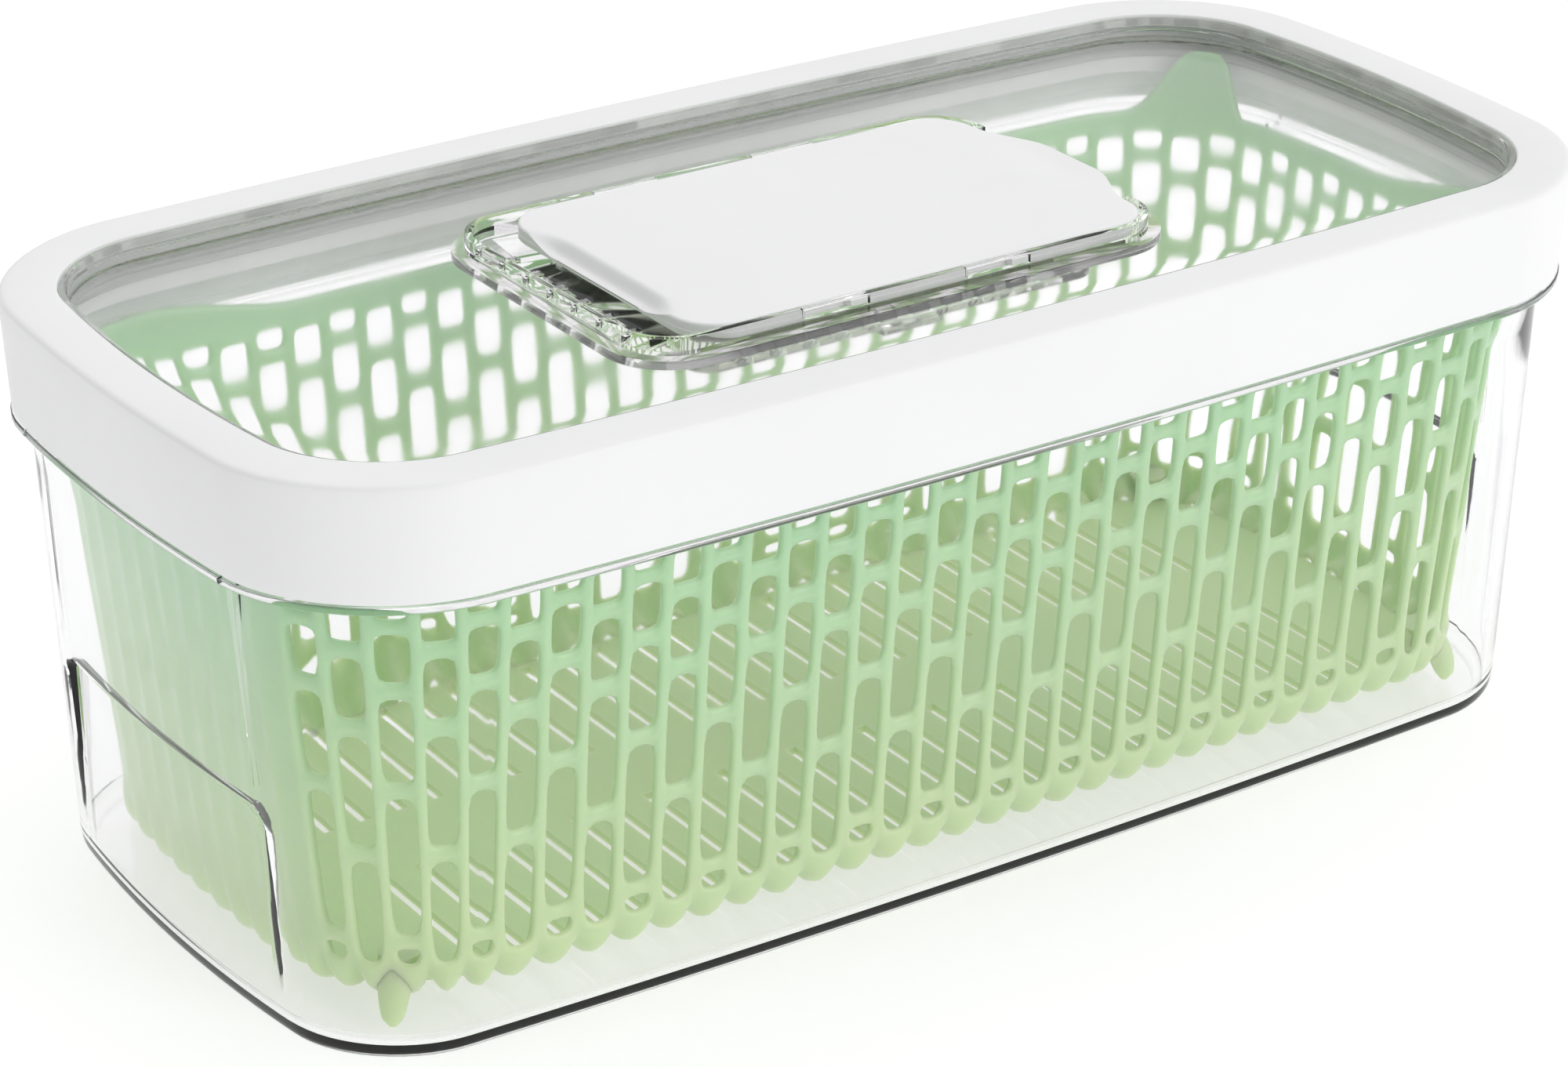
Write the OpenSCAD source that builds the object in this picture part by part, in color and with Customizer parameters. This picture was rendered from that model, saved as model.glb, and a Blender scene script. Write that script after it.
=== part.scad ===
// Produce storage box: a clear tub, a slotted basket that stands in it on four feet,
// and a framed clear lid with a sliding vent over a filter pouch.
// Millimetres, +Z up, long side along X, origin at the middle of the base.
// The tub, the basket and the two parts of the lid are each one moulding, drawn as
// pieces that meet face to face so that each stays a simple wall, ring or plate.

/* [Overall] */
// Length of the lid, the longest part
lid_l = 356; // [290:1:430]
// Width of the lid
lid_w = 172; // [150:1:210]
// Height from the table to the top of the lid
total_h = 136.1; // [115:0.1:165]
// Corner radius of the lid
lid_corner = 38.5; // [30:0.5:46]
// How far the middle of a long side bows out past its ends
long_bow = 3.8; // [0:0.1:5]
// How far the middle of an end bows out past its corners
end_bow = 6.7; // [0:0.1:9]

/* [Tub] */
// Step in from the edge of the lid to the wall of the tub
tub_inset = 3.85; // [3.4:0.05:5]
// Slope of each wall, measured over its whole height
tub_draft = 6.2; // [4:0.1:8]
// Wall and floor thickness
tub_wall = 2.3; // [1.8:0.1:2.8]
// Corner radius at the base
tub_base_corner = 26; // [20:0.5:32]
// Radius of the edge between base and wall
tub_base_edge = 3.5; // [2:0.1:5]
// Thickness of the ledge below the lid
ledge_t = 1.6; // [1:0.1:3]
// How far the edge of the ledge stays inside the edge of the lid
ledge_inset = 0.9; // [0.4:0.1:1.6]
// Width of the grip recess in each end
grip_w = 88; // [60:1:92]
// Height of the top of the grip recess
grip_top = 54; // [40:1:66]
// Height where the grip recess runs out
grip_foot = 7; // [5:0.5:12]
// Depth of the grip recess at its top
grip_depth = 2; // [1:0.1:3]

/* [Lid] */
// Depth of the skirt, from the top of the lid down
skirt_h = 26.5; // [20:0.5:32]
// Slope of the skirt over its depth
skirt_draft = 1.2; // [0:0.1:2]
// Thickness of the skirt
skirt_t = 2; // [1.4:0.1:2.4]
// Thickness of the top of the frame
frame_t = 3; // [2:0.1:3.6]
// Width of the top of the frame
frame_w = 12.1; // [11.6:0.1:15]
// Radius of the outer top edge
frame_edge = 1.8; // [0.6:0.1:2.4]
// Depth of the clear window below the top of the frame
window_drop = 4.9; // [4:0.1:6]
// Thickness of the clear window
window_t = 2.4; // [1.8:0.1:3]
// Thickness of the upstand around the window
upstand_t = 1.8; // [1.2:0.1:2.4]
// Depth of the plug below the window
plug_h = 14.3; // [11:0.1:17]
// Thickness of the plug wall
plug_t = 1.7; // [1.4:0.1:2.1]
// Gap between plug and tub that the seal closes
plug_gap = 2.1; // [1.7:0.1:2.6]
// Height of the seal
seal_h = 4; // [3:0.1:5]
// Depth of the groove that holds the seal
seal_groove = 0.7; // [0.4:0.1:0.9]

/* [Basket] */
// Height of the underside of the basket above the table
basket_floor_z = 8.5; // [7.5:0.5:16]
// Height of the rim between the corners
basket_rim_z = 109.5; // [90:0.1:113]
// Rise of the two corner handles above the rim
handle_rise = 17; // [8:0.5:17.5]
// Rise of the two low corners above the rim
low_rise = 6.5; // [4:0.5:12]
// Wall thickness
basket_wall = 2; // [1.4:0.1:2.8]
// Slope of each end wall over its height
basket_end_draft = 9.5; // [6:0.5:14]
// Slope of each long wall over its height
basket_side_draft = 8.5; // [4:0.5:10]
// Corner radius at the rim
basket_corner = 35; // [30:0.5:40]
// Corner radius at the floor
basket_base_corner = 28; // [18:0.5:30]
// Radius of the edge between floor and wall
basket_edge = 7; // [5:0.5:10]
// Distance between slot columns
slot_pitch = 9.85; // [8:0.05:14]
// Width of a slot
slot_w = 6; // [4:0.1:6.5]
// Height of the bars between the slots of a column
slot_bar = 4.3; // [3:0.1:6]
// Distance from the rim down to the first slot of an even column
slot_top = 6.5; // [5:0.5:12]
// How much less the ends of the basket bow than the ends of the lid
basket_bow_less = 2.2; // [1.6:0.1:4]
// Tip radius of a foot
foot_tip_r = 1.6; // [1.2:0.1:3]
// Radius of a foot where it meets the basket
foot_root_r = 4.6; // [3.5:0.1:6]

/* [Vent] */
// Length of the vent tray
tray_l = 139; // [110:1:170]
// Width of the vent tray
tray_w = 86; // [70:1:104]
// Corner radius of the vent tray
tray_corner = 13; // [10:0.5:16]
// Wall thickness of the vent tray
tray_wall = 1.8; // [1.4:0.1:2.4]
// Height that the tray lip stands above the window
tray_lip = 2.8; // [2.4:0.1:3.6]
// Width of the flange under the window
tray_flange = 3; // [2:0.1:5]
// Thickness of the flange and floor of the tray
tray_floor_t = 2; // [1.4:0.1:2.6]
// How far the slide travels from open to shut
slide_travel = 11.5; // [8:0.5:14]
// Thickness of the slide's top
slide_t = 2.2; // [1.6:0.1:2.6]
// Wall thickness of the slide's rim
slide_wall = 1.6; // [1.2:0.1:2.2]
// How far the finger lip stands past the end of the slide
finger_lip = 6.9; // [4:0.1:9]
// Width of the finger lip
finger_w = 52; // [36:1:60]
// Width of each vent slot
vent_slot_w = 2.4; // [1.6:0.1:4]
// Distance between vent slots
vent_pitch = 10; // [7:0.1:12]
// Length of a hook on the slide
hook_l = 5.2; // [4:0.1:8]
// Distance between the two hooks of a side
hook_spacing = 43.2; // [36:0.1:50]

/* [Filter] */
// Length of the filter box
filter_l = 108; // [84:1:110]
// Width of the filter box
filter_w = 66; // [54:1:72]
// Depth of the filter box below the tray
filter_h = 7; // [5:0.1:10]
// Wall thickness of the filter box
filter_wall = 1.6; // [1.2:0.1:2.2]
// Thickness of the filter door
door_t = 1.6; // [1.2:0.1:2.2]
// Distance between the slots in the filter door
door_pitch = 8.8; // [6:0.1:12]
// Radius of the door's hinge stubs
stub_r = 1.2; // [1:0.1:1.6]
// Thickness of the filter pouch
pouch_t = 4.6; // [3:0.1:5]

/* [Fits] */
// Running clearance around a hinge stub, on the radius
stub_gap = 0.06; // [0.03:0.01:0.1]
// Gap between pieces that slide or lift past each other
slide_gap = 0.3; // [0.2:0.05:0.5]
// Gap between the lid and what it closes onto
close_gap = 0.3; // [0.2:0.05:0.6]
// Gap between the basket and the plug of the lid
basket_gap = 0.9; // [0.6:0.1:2]

/* [Hidden] */

$fn = 48;
eps = 0.01;
cut = 1;
arc_steps = 8;
side_steps = 6;
edge_steps = 3;
fine_fn = 96;

clear_colour = [0.88, 0.88, 0.9, 0.45];
white_colour = [0.97, 0.97, 0.97];
green_colour = [0.72, 0.85, 0.66, 0.8];

// Heights, from the top of the lid down
skirt_z = total_h - skirt_h;
frame_under_z = total_h - frame_t;
window_z = total_h - window_drop;
window_under_z = window_z - window_t;
plug_z = window_under_z - plug_h;
ledge_z = skirt_z - close_gap;
tub_top_z = frame_under_z - close_gap;
tray_z = window_under_z - tray_floor_t;
tray_top_z = window_z + tray_lip;
slide_top_z = tray_top_z + 0.1;
slide_foot_z = window_under_z + slide_gap;
filter_z = tray_z - filter_h;
door_z = filter_z - 0.2 - door_t;

// Outlines, in from the edge of the lid
neck_inset = tub_inset + tub_wall;
plug_inset = neck_inset + plug_gap;
plug_in_inset = plug_inset + plug_t;
basket_inset = plug_in_inset + basket_gap;

function smooth(t) = let (c = min(1, max(0, t))) c*c*(3 - 2*c);
function mix(a, b, t) = a + (b - a)*t;

// Points of a rounded rectangle, anticlockwise from the start of its +X +Y corner.
// marks are the places along an end, as shares of its straight stretch.
even_marks = [for (k = [3:-1:-3]) k/4];
function corner_pts(l, w, r, q) =
    let (sx = [1, -1, -1, 1][q], sy = [1, 1, -1, -1][q])
    [for (i = [0:arc_steps]) let (a = 90*(q + i/arc_steps))
        [sx*(l/2 - r) + r*cos(a), sy*(w/2 - r) + r*sin(a)]];
function long_pts(l, w, r, s) =
    [for (k = [1:side_steps - 1]) [s*(l/2 - r)*(1 - 2*k/side_steps), s*w/2]];
function end_pts(l, w, r, s, marks) = [for (m = marks) [-s*l/2, s*m*(w/2 - r)]];
function outline(l, w, r, marks) = concat(
    corner_pts(l, w, r, 0), long_pts(l, w, r, 1),
    corner_pts(l, w, r, 1), end_pts(l, w, r, 1, marks),
    corner_pts(l, w, r, 2), long_pts(l, w, r, -1),
    corner_pts(l, w, r, 3), end_pts(l, w, r, -1, marks));

// The sides bow outwards: a point gives way more the nearer it is to a corner
function bowed(p, l, w, bow) = [
    p.x - sign(p.x)*bow*pow(2*p.y/w, 2)*abs(2*p.x/l),
    p.y - sign(p.y)*long_bow*pow(2*p.x/l, 2)*abs(2*p.y/w)];
function ring(l, w, r, z, marks = even_marks, bow = end_bow) =
    [for (p = outline(l, w, r, marks)) let (b = bowed(p, l, w, bow)) [b.x, b.y, z]];
// A ring set in from the edge of the lid
function lid_ring(inset, z) = ring(lid_l - 2*inset, lid_w - 2*inset, lid_corner - inset, z);

function band_faces(a, b, n) = [for (j = [0:n - 1])
    let (k = (j + 1)%n) each [[a + j, b + k, a + k], [a + j, b + j, b + k]]];

// Solid through a stack of rings, closed by its first and its last ring
module ring_stack(rings) {
    n = len(rings[0]);
    m = len(rings);
    polyhedron(points = [for (r = rings) each r], convexity = 8, faces = concat(
        [[for (j = [0:n - 1]) j]],
        [for (i = [0:m - 2]) each band_faces(i*n, (i + 1)*n, n)],
        [[for (j = [n - 1:-1:0]) (m - 1)*n + j]]));
}

// Solid through a closed loop of rings, such as a frame
module ring_loop(rings) {
    n = len(rings[0]);
    m = len(rings);
    polyhedron(points = [for (r = rings) each r], convexity = 8,
        faces = [for (i = [0:m - 1]) each band_faces(i*n, ((i + 1)%m)*n, n)]);
}

// Flat rounded rectangle
module plate_shape(l, w, r) {
    square([l - 2*r, w], center = true);
    square([l, w - 2*r], center = true);
    for (sx = [-1, 1], sy = [-1, 1])
        translate([sx*(l/2 - r), sy*(w/2 - r)]) circle(r);
}

module plate(l, w, r, z, h) {
    translate([0, 0, z]) linear_extrude(h) plate_shape(l, w, r);
}

// ---- Tub ----

grip_half = grip_w/2;
grip_step = 0.8;

// Rings of the tub have points where the grip recess starts and ends
function grip_marks(straight) =
    let (y = [grip_half + grip_step, grip_half, grip_half/2, 0])
    [for (k = [0:6]) (k < 4 ? y[k] : -y[6 - k])/straight];
function grip_ring(l, w, r, z) = ring(l, w, r, z, grip_marks(w/2 - r));
function neck_ring(inset, z) =
    grip_ring(lid_l - 2*inset, lid_w - 2*inset, lid_corner - inset, z);

// Ring at height z of the wall as it is at height at, set in by a wall or an edge
function tub_ring(z, inset, at) =
    let (t = min(1, at/skirt_z),
        in = tub_inset + tub_draft*(1 - t) + inset,
        dent = at > grip_top ? 0 : grip_depth*max(0, at - grip_foot)/(grip_top - grip_foot))
    [for (p = grip_ring(lid_l - 2*in, lid_w - 2*in, mix(tub_base_corner, lid_corner, t) - inset, z))
        let (inside = abs(p.y) < grip_half + grip_step/2 && abs(p.x) > lid_l/4)
        [inside ? p.x - sign(p.x)*dent : p.x, p.y, p.z]];

// The edge between base and wall, up to the top of the floor and past it
base_turn = tub_wall >= tub_base_edge ? 90 : acos(1 - tub_wall/tub_base_edge);
function edge_ring(a) = tub_ring(tub_base_edge*(1 - cos(a)), tub_base_edge*(1 - sin(a)), 0);

module container_base() {
    color(clear_colour) ring_stack(concat(
        [for (i = [0:edge_steps]) edge_ring(base_turn*i/edge_steps)],
        base_turn < 90 ? [] : [tub_ring(tub_wall, 0, 0)]));
}

module container_wall() {
    outer = concat(
        [for (i = [0:edge_steps]) edge_ring(mix(base_turn, 90, i/edge_steps))],
        [for (z = [grip_foot, grip_top, grip_top + grip_step, ledge_z - ledge_t]) tub_ring(z, 0, z)]);
    ledge = [neck_ring(ledge_inset, ledge_z - ledge_t), neck_ring(ledge_inset, ledge_z),
        neck_ring(neck_inset, ledge_z)];
    inner = concat(
        [for (z = [grip_top + grip_step, grip_top, grip_foot]) tub_ring(z, tub_wall, z)],
        [for (i = [edge_steps:-1:0]) let (a = 90*i/edge_steps, e = tub_base_edge)
            tub_ring(tub_wall + e*(1 - cos(a)), tub_wall + e*(1 - sin(a)), 0)]);
    color(clear_colour) ring_loop(concat(outer, ledge, inner));
}

module container_neck() {
    color(clear_colour) ring_loop([
        neck_ring(tub_inset, ledge_z), neck_ring(tub_inset, tub_top_z),
        neck_ring(neck_inset, tub_top_z), neck_ring(neck_inset, ledge_z)]);
}

// ---- Basket ----

basket_l = lid_l - 2*basket_inset;
basket_w = lid_w - 2*basket_inset;
basket_bow = max(0, end_bow - basket_bow_less);
function basket_size(z) =
    let (s = min(1, max(0, (basket_rim_z - z)/(basket_rim_z - basket_floor_z))))
    [basket_l - 2*basket_end_draft*s, basket_w - 2*basket_side_draft*s,
        mix(basket_corner, basket_base_corner, s)];
function basket_ring(z, inset, at) = let (s = basket_size(at))
    ring(s[0] - 2*inset, s[1] - 2*inset, s[2] - inset, z, even_marks, basket_bow);

// Rise of the rim at a point of the top ring. Two corners carry a handle that sweeps up
// from the long side and drops off sharply to the end; the other two rise gently.
handle_drop = [16, 21];
handle_sweep = [38, 80];
low_reach = 42;
function rim_rise(p) = let (
    u = abs(p.x) - (basket_l/2 - basket_corner),
    v = abs(p.y) - (basket_w/2 - basket_corner),
    a = atan2(max(0, v), max(eps, u)),
    drop = smooth((a - handle_drop[0])/(handle_drop[1] - handle_drop[0])),
    sweep = smooth((handle_sweep[1] - a)/(handle_sweep[1] - handle_sweep[0])),
    low = smooth(1 - max(0, -u, -v)/low_reach))
    p.x*p.y < 0 ? low_rise*low : u > 0 && v > 0 ? handle_rise*drop*pow(sweep, 2.3) : 0;
function rim_ring(inset) = [for (p = basket_ring(basket_rim_z, inset, basket_rim_z))
    [p.x, p.y, basket_rim_z + rim_rise(p)]];

// Slot columns: as many pairs as fit on the straight stretch of a long wall
column_spill = 4;
column_pairs = floor((basket_l/2 - basket_corner - basket_end_draft/2 + column_spill)/slot_pitch);

// Slots of an even and of an odd column: where the lowest starts above the underside,
// and where the bars are, as shares of the height from there to the top of the slots
slot_foot = [15.5, 9];
bar_shares = [[0.937, 0.75, 0.446], [0.874, 0.661, 0.301]];
function column_slots(odd) =
    let (low = basket_floor_z + slot_foot[odd], high = basket_rim_z - slot_top,
        bars = [for (f = bar_shares[odd]) mix(low, high, f)], half = slot_bar/2)
    [[bars[0] + half, high], [bars[1] + half, bars[0] - half],
        [bars[2] + half, bars[1] - half], [low, bars[2] - half]];

module wall_slots() {
    rotate([90, 0, 0]) linear_extrude(basket_w + 2*cut, center = true)
        for (i = [-column_pairs:column_pairs - 1], slot = column_slots(abs(i)%2))
            translate([(i + 0.5)*slot_pitch - slot_w/2, slot[0]]) square([slot_w, slot[1] - slot[0]]);
}

module floor_slots() {
    inner_y = 12;
    outer_y = basket_w/2 - basket_side_draft - basket_edge - 2;
    translate([0, 0, basket_floor_z - cut]) linear_extrude(basket_wall + 2*cut)
        for (i = [-column_pairs:column_pairs - 1], s = [-1, 1])
            translate([(i + 0.5)*slot_pitch - slot_w/4, s > 0 ? inner_y : -outer_y])
                square([slot_w/2, outer_y - inner_y]);
}

module basket_floor() {
    color(green_colour) difference() {
        ring_stack([for (h = [0, basket_wall])
            basket_ring(basket_floor_z + h, basket_edge, basket_floor_z)]);
        floor_slots();
    }
}

// Rings of the edge between floor and wall, through the wall at depth t, from a up to b
function basket_edge_rings(t, a, b) = let (e = basket_edge, r = e - t)
    [for (i = [0:edge_steps]) let (q = mix(a, b, i/edge_steps))
        basket_ring(basket_floor_z + t + r*(1 - cos(q)), t + r*(1 - sin(q)), basket_floor_z)];

// Feet below the corners, ending inside the wall
module basket_feet() {
    size = basket_size(basket_floor_z);
    tip_z = tub_wall + close_gap;
    turn = basket_base_corner*(1 - sqrt(0.5));
    x = size[0]/2 - turn - foot_root_r;
    y = size[1]/2 - turn*0.6 - foot_root_r;
    difference() {
        for (sx = [-1, 1], sy = [-1, 1])
            translate([sx*x, sy*y, tip_z])
                cylinder(r1 = foot_tip_r, r2 = foot_root_r, h = basket_floor_z + basket_edge - tip_z);
        ring_stack(concat(basket_edge_rings(basket_wall*0.6, 0, 90),
            [basket_ring(basket_rim_z, basket_wall*0.6, basket_rim_z)]));
    }
}

module basket_wall() {
    color(green_colour) {
        difference() {
            ring_loop(concat(basket_edge_rings(0, 0, 90), [rim_ring(0), rim_ring(basket_wall)],
                basket_edge_rings(basket_wall, 90, 0)));
            wall_slots();
        }
        basket_feet();
    }
}

// ---- Lid ----

skirt_edge = 0.6;
rim_below = 0.7;
up_foot = 2.4;

module lid_frame() {
    edge = [for (i = [0:edge_steps]) let (a = 90*i/edge_steps)
        lid_ring(frame_edge*(1 - cos(a)), total_h - frame_edge*(1 - sin(a)))];
    color(white_colour) ring_loop(concat([lid_ring(0, frame_under_z)], edge,
        [lid_ring(frame_w, total_h), lid_ring(frame_w, frame_under_z)]));
}

module lid_skirt() {
    color(white_colour) ring_loop([
        lid_ring(skirt_draft + skirt_edge, skirt_z), lid_ring(skirt_draft, skirt_z + skirt_edge),
        lid_ring(0, frame_under_z), lid_ring(skirt_t, frame_under_z),
        lid_ring(skirt_draft + skirt_t, skirt_z)]);
}

// The clear window, with the foot of its upstand under the frame
module lid_window() {
    up_z = total_h - rim_below;
    up_in = frame_w + upstand_t;
    foot_in = frame_w - up_foot;
    color(clear_colour) difference() {
        ring_stack([
            lid_ring(plug_inset, window_under_z), lid_ring(plug_inset, window_z),
            lid_ring(foot_in, window_z), lid_ring(foot_in, frame_under_z),
            lid_ring(frame_w, frame_under_z), lid_ring(frame_w, up_z),
            lid_ring(up_in, up_z), lid_ring(up_in, window_z)]);
        translate([tray_x, 0, 0])
            plate(tray_l, tray_w, tray_corner, window_under_z - cut, window_t + 2*cut);
    }
}

seal_z = plug_z + 4;

module lid_plug() {
    color(clear_colour) ring_loop([
        lid_ring(plug_inset, plug_z), lid_ring(plug_inset, seal_z),
        lid_ring(plug_inset + seal_groove, seal_z), lid_ring(plug_inset + seal_groove, seal_z + seal_h),
        lid_ring(plug_inset, seal_z + seal_h), lid_ring(plug_inset, window_under_z),
        lid_ring(plug_in_inset, window_under_z), lid_ring(plug_in_inset, plug_z)]);
}

module lid_seal() {
    lip = neck_inset + 0.2;
    lip_half = 0.6;
    mid = seal_z + seal_h/2;
    color([0.9, 0.9, 0.91, 0.8]) ring_loop([
        lid_ring(plug_inset, seal_z), lid_ring(lip, mid - lip_half), lid_ring(lip, mid + lip_half),
        lid_ring(plug_inset, seal_z + seal_h), lid_ring(plug_inset + seal_groove, seal_z + seal_h),
        lid_ring(plug_inset + seal_groove, seal_z)]);
}

// ---- Vent ----

// The tray sits a little left of the middle, and the slide rests at its right end
tray_x = -1.5;
tray_in_l = tray_l - 2*tray_wall;
tray_in_w = tray_w - 2*tray_wall;
slide_l = tray_in_l - slide_travel - 2*slide_gap;
slide_w = tray_in_w - 2*slide_gap;
slide_r = tray_corner - tray_wall - slide_gap;
slide_x = tray_x + slide_travel/2;
slide_end_x = slide_x + slide_l/2;
slide_left_x = slide_x - slide_l/2;

filter_x = 2;
hole_w = 3;
hole_margin = 9;

hook_play = 0.15;
hook_z = [window_z + 0.6, window_z + 2];
hook_xs = [for (s = [-1, 1]) tray_x + s*hook_spacing/2 + slide_travel/2 - hook_play];

module vent_slots() {
    half = vent_slot_w/2;
    for (i = [-3:3]) translate([tray_x - tray_l/2, i*vent_pitch - 2, 0]) {
        // opening in the wall, just above the window
        translate([-cut, -half/2, window_z + 0.2]) cube([tray_wall + 2*cut, half, 1.6]);
        // opening in the floor behind it
        translate([tray_wall + 1.2, -half, tray_z - cut])
            cube([slide_travel - 4, vent_slot_w, tray_floor_t + 2*cut]);
    }
}

// Windows in the long walls of the tray that the slide's hooks run in
module hook_windows() {
    reach = slide_travel + hook_l + 2*hook_play;
    for (x = hook_xs, s = [-1, 1])
        translate([x + hook_l/2 + hook_play - reach, s*(tray_w/2 - tray_wall/2) - tray_wall,
            hook_z[0] - slide_gap])
            cube([reach, 2*tray_wall, hook_z[1] - hook_z[0] + 2*slide_gap]);
}

module vent_tray() {
    lip_room = [2*tray_wall + 4, finger_w + 3, slide_t + 2];
    color(clear_colour) difference() {
        translate([tray_x, 0, 0]) union() {
            plate(tray_l, tray_w, tray_corner, tray_z, tray_top_z - tray_z);
            plate(tray_l + 2*tray_flange, tray_w + 2*tray_flange, tray_corner + tray_flange, tray_z,
                tray_floor_t);
        }
        translate([tray_x, 0, 0])
            plate(tray_in_l, tray_in_w, tray_corner - tray_wall, window_under_z, tray_top_z);
        vent_slots();
        hook_windows();
        // way through for the finger lip
        translate([tray_x + tray_in_l/2 - 2, -lip_room.y/2, slide_top_z - slide_t - 0.6]) cube(lip_room);
        // air holes over the filter
        for (i = [-4:4])
            translate([filter_x + i*door_pitch - hole_w/2, -filter_w/2 + hole_margin, tray_z - cut])
                cube([hole_w, filter_w - 2*hole_margin, tray_floor_t + 2*cut]);
    }
}

// Thumb scoop in the left end and dish in the finger lip
scoop_half = 30;
scoop_in = 4;
scoop_h = slide_t*0.8;
dish_r = 75;
dish_depth = slide_t*0.55;
function arc_radius(half, rise) = (half*half + rise*rise)/(2*rise);

module vent_slide() {
    body_h = slide_top_z - slide_foot_z;
    lip_r = arc_radius(finger_w/2, finger_lip);
    scoop_r = arc_radius(scoop_half, scoop_in);
    hook_root = 1;
    color(white_colour) {
        difference() {
            union() {
                translate([slide_x, 0, 0]) plate(slide_l, slide_w, slide_r, slide_foot_z, body_h);
                // finger lip, part of a disc that stands past the end
                intersection() {
                    translate([slide_end_x + finger_lip - lip_r, 0, slide_top_z - slide_t])
                        cylinder(r = lip_r, h = slide_t, $fn = fine_fn);
                    translate([slide_end_x - 4, -finger_w/2, slide_top_z - slide_t])
                        cube([finger_lip + 5, finger_w, slide_t]);
                }
            }
            translate([slide_x, 0, 0])
                plate(slide_l - 2*slide_wall, slide_w - 2*slide_wall, slide_r - slide_wall,
                    slide_foot_z - cut, body_h - slide_t + cut);
            translate([slide_left_x + scoop_in - scoop_r, 0, slide_top_z - scoop_h])
                cylinder(r1 = scoop_r - scoop_in, r2 = scoop_r, h = scoop_h + eps, $fn = fine_fn);
            translate([slide_end_x - 2, 0, slide_top_z + dish_r - dish_depth])
                sphere(r = dish_r, $fn = fine_fn);
        }
        for (x = hook_xs, s = [-1, 1])
            translate([x - hook_l/2, s > 0 ? slide_w/2 - hook_root : -tray_w/2 - 0.1, hook_z[0]])
                cube([hook_l, tray_w/2 + 0.1 - slide_w/2 + hook_root, hook_z[1] - hook_z[0]]);
    }
}

// ---- Filter ----

filter_corner = 6;
hinge_y = filter_w/2 + stub_r + 1.4;
hinge_z = filter_z;
lug_t = 2.6;
lug_rim = 1.2;
knuckle_l = 10;
knuckle_rim = 0.9;
knuckle_xs = [for (s = [-1, 1]) filter_x + s*(filter_l/2 - 18)];
// Slots along the filter box and its door
slot_pairs = floor(filter_l/2/door_pitch) - 1;

module filter_box() {
    color(clear_colour) difference() {
        translate([filter_x, 0, 0]) plate(filter_l, filter_w, filter_corner, filter_z, filter_h);
        translate([filter_x, 0, 0])
            plate(filter_l - 2*filter_wall, filter_w - 2*filter_wall, filter_corner - filter_wall,
                filter_z - cut, filter_h + 2*cut);
        for (i = [-slot_pairs:slot_pairs])
            translate([filter_x + i*door_pitch - door_pitch/4, -filter_w/2 - cut, filter_z - cut])
                cube([door_pitch/2, filter_wall + 2*cut, filter_h*0.45 + cut]);
    }
}

// Lugs that hang from the tray behind the filter box and hold the door's hinge stubs
module filter_lugs() {
    lug_r = stub_r + lug_rim;
    color(clear_colour) for (x = knuckle_xs, s = [-1, 1])
        translate([x + s*(knuckle_l + lug_t + slide_gap)/2 - lug_t/2, hinge_y, hinge_z])
            difference() {
                union() {
                    rotate([0, 90, 0]) cylinder(r = lug_r, h = lug_t);
                    translate([0, -lug_r, 0]) cube([lug_t, 2*lug_r, tray_z - hinge_z]);
                }
                translate([-cut, 0, 0]) rotate([0, 90, 0]) cylinder(r = stub_r + stub_gap, h = lug_t + 2*cut);
            }
}

module filter_door() {
    tab = [16, 4, door_t];
    color(clear_colour) {
        difference() {
            translate([filter_x, 0, 0]) plate(filter_l, filter_w, filter_corner, door_z, door_t);
            for (i = [-slot_pairs:slot_pairs])
                translate([filter_x + i*door_pitch - door_pitch/4, -filter_w/2 + 6, door_z - cut])
                    cube([door_pitch/2, filter_w - 12, door_t + 2*cut]);
        }
        // finger tab at the front
        translate([filter_x - tab.x/2, -filter_w/2 - tab.y + 1, door_z]) cube(tab);
        for (x = knuckle_xs) {
            translate([x - knuckle_l/2, filter_w/2 - 2, door_z])
                cube([knuckle_l, hinge_y - filter_w/2 + 2, door_t]);
            translate([x, hinge_y, hinge_z]) rotate([0, 90, 0]) {
                cylinder(r = stub_r + knuckle_rim, h = knuckle_l, center = true);
                cylinder(r = stub_r, h = knuckle_l + slide_gap + 2*lug_t - 0.4, center = true);
            }
        }
    }
}

module filter_pouch() {
    pouch_gap = 2;
    color([0.95, 0.95, 0.93]) translate([filter_x, 0, 0])
        plate(filter_l - 2*(filter_wall + pouch_gap), filter_w - 2*(filter_wall + pouch_gap),
            filter_corner - 1, door_z + door_t + eps, pouch_t);
}

container_base();
container_wall();
container_neck();
basket_floor();
basket_wall();
lid_frame();
lid_skirt();
lid_window();
lid_plug();
lid_seal();
vent_tray();
vent_slide();
filter_box();
filter_lugs();
filter_door();
filter_pouch();
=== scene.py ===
import math
import bpy
import bmesh
from mathutils import Matrix, Vector, noise


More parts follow.
